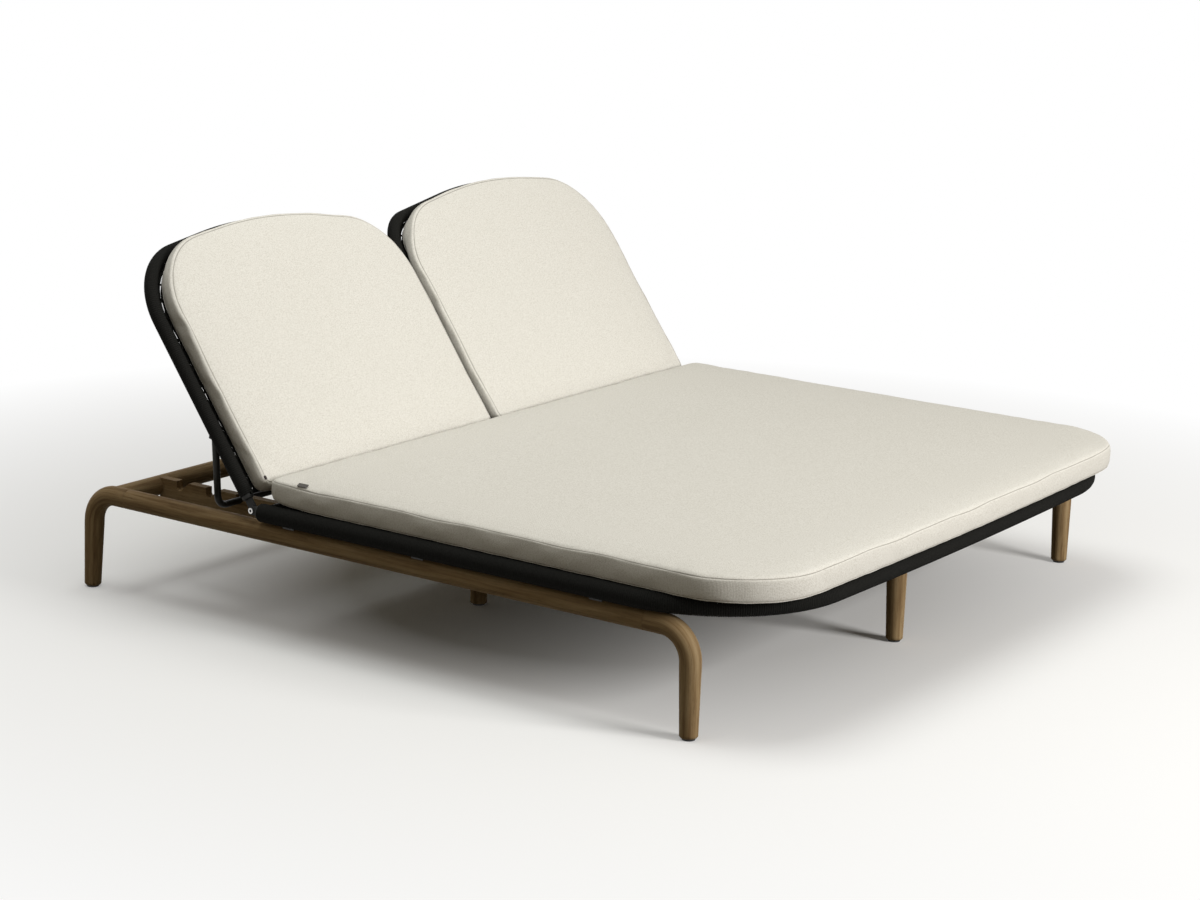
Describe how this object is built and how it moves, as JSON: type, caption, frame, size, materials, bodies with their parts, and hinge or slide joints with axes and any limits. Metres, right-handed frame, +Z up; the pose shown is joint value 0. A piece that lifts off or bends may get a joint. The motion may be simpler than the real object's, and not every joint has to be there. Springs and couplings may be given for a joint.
{
  "type": "double chaise lounger",
  "caption": "Low outdoor lounger for two: teak base, rope-wound frame, one seat cushion and a pair of reclining backs held by prop bars in notched boards.",
  "frame": {"origin": "middle of the footprint, on the floor", "axes": "+Z up; +Y from the foot end to the head end; +X to the right as seen from the foot end"},
  "size_m": [1.9308, 2.0254, 0.916],
  "materials": {
    "teak": "weathered, open grain",
    "rope": "matt woven rope",
    "cushion_fabric": "matt woven outdoor fabric",
    "frame_metal": "satin powder coat",
    "prop_metal": "satin powder coat",
    "lug_metal": "satin",
    "steel": "brushed",
    "glide": "matt",
    "pad": "matt"
  },
  "bodies": {
    "base": {"left_rail": "teak", "centre_rail": "teak", "right_rail": "teak", "left_foot_leg": "teak", "centre_foot_leg": "teak", "right_foot_leg": "teak", "left_head_leg": "teak", "centre_head_leg": "teak", "right_head_leg": "teak", "left_mid_leg": "teak", "right_mid_leg": "teak", "left_foot_beam": "teak", "right_foot_beam": "teak", "left_mid_beam": "teak", "right_mid_beam": "teak", "left_head_beam": "teak", "right_head_beam": "teak", "left_outer_board": "teak", "left_inner_board": "teak", "right_outer_board": "teak", "right_inner_board": "teak", "teak_dowels": "teak", "leg_glides": "glide", "seat_frame": "frame_metal", "seat_wrap": "rope", "seat_rear_tube": "frame_metal", "seat_spine": "frame_metal", "seat_net": "rope", "frame_pads": "pad", "frame_bolts": "steel", "outer_hinge_lugs": "lug_metal", "inner_hinge_plates": "lug_metal", "hinge_pins": "steel", "seat_cushion": "cushion_fabric"},
    "left_back": {"left_back_frame": "frame_metal", "left_back_wrap": "rope", "left_back_cross": "frame_metal", "left_back_net": "rope", "left_back_lugs": "lug_metal", "left_back_cushion": "cushion_fabric", "left_prop_pins": "steel"},
    "left_prop": {"left_prop_bar": "prop_metal"},
    "right_back": {"right_back_frame": "frame_metal", "right_back_wrap": "rope", "right_back_cross": "frame_metal", "right_back_net": "rope", "right_back_lugs": "lug_metal", "right_back_cushion": "cushion_fabric", "right_prop_pins": "steel"},
    "right_prop": {"right_prop_bar": "prop_metal"}
  },
  "joints": [
    {"name": "left_back_hinge", "type": "hinge", "parent": "base", "child": "left_back", "pos_m": [-0.4835, 0.436, 0.3], "axis": [1, 0, 0], "range_deg": [0, 12]},
    {"name": "left_prop_pivot", "type": "hinge", "parent": "left_back", "child": "left_prop", "pos_m": [-0.4835, 0.58141, 0.48483], "axis": [1, 0, 0], "range_deg": [-10, 0]},
    {"name": "right_back_hinge", "type": "hinge", "parent": "base", "child": "right_back", "pos_m": [0.4835, 0.436, 0.3], "axis": [1, 0, 0], "range_deg": [0, 12]},
    {"name": "right_prop_pivot", "type": "hinge", "parent": "right_back", "child": "right_prop", "pos_m": [0.4835, 0.58141, 0.48483], "axis": [1, 0, 0], "range_deg": [-10, 0]}
  ],
  "couplings": [
    {"joint": "left_prop_pivot", "follows": "left_back_hinge", "ratio": -0.8},
    {"joint": "right_prop_pivot", "follows": "right_back_hinge", "ratio": -0.8}
  ]
}
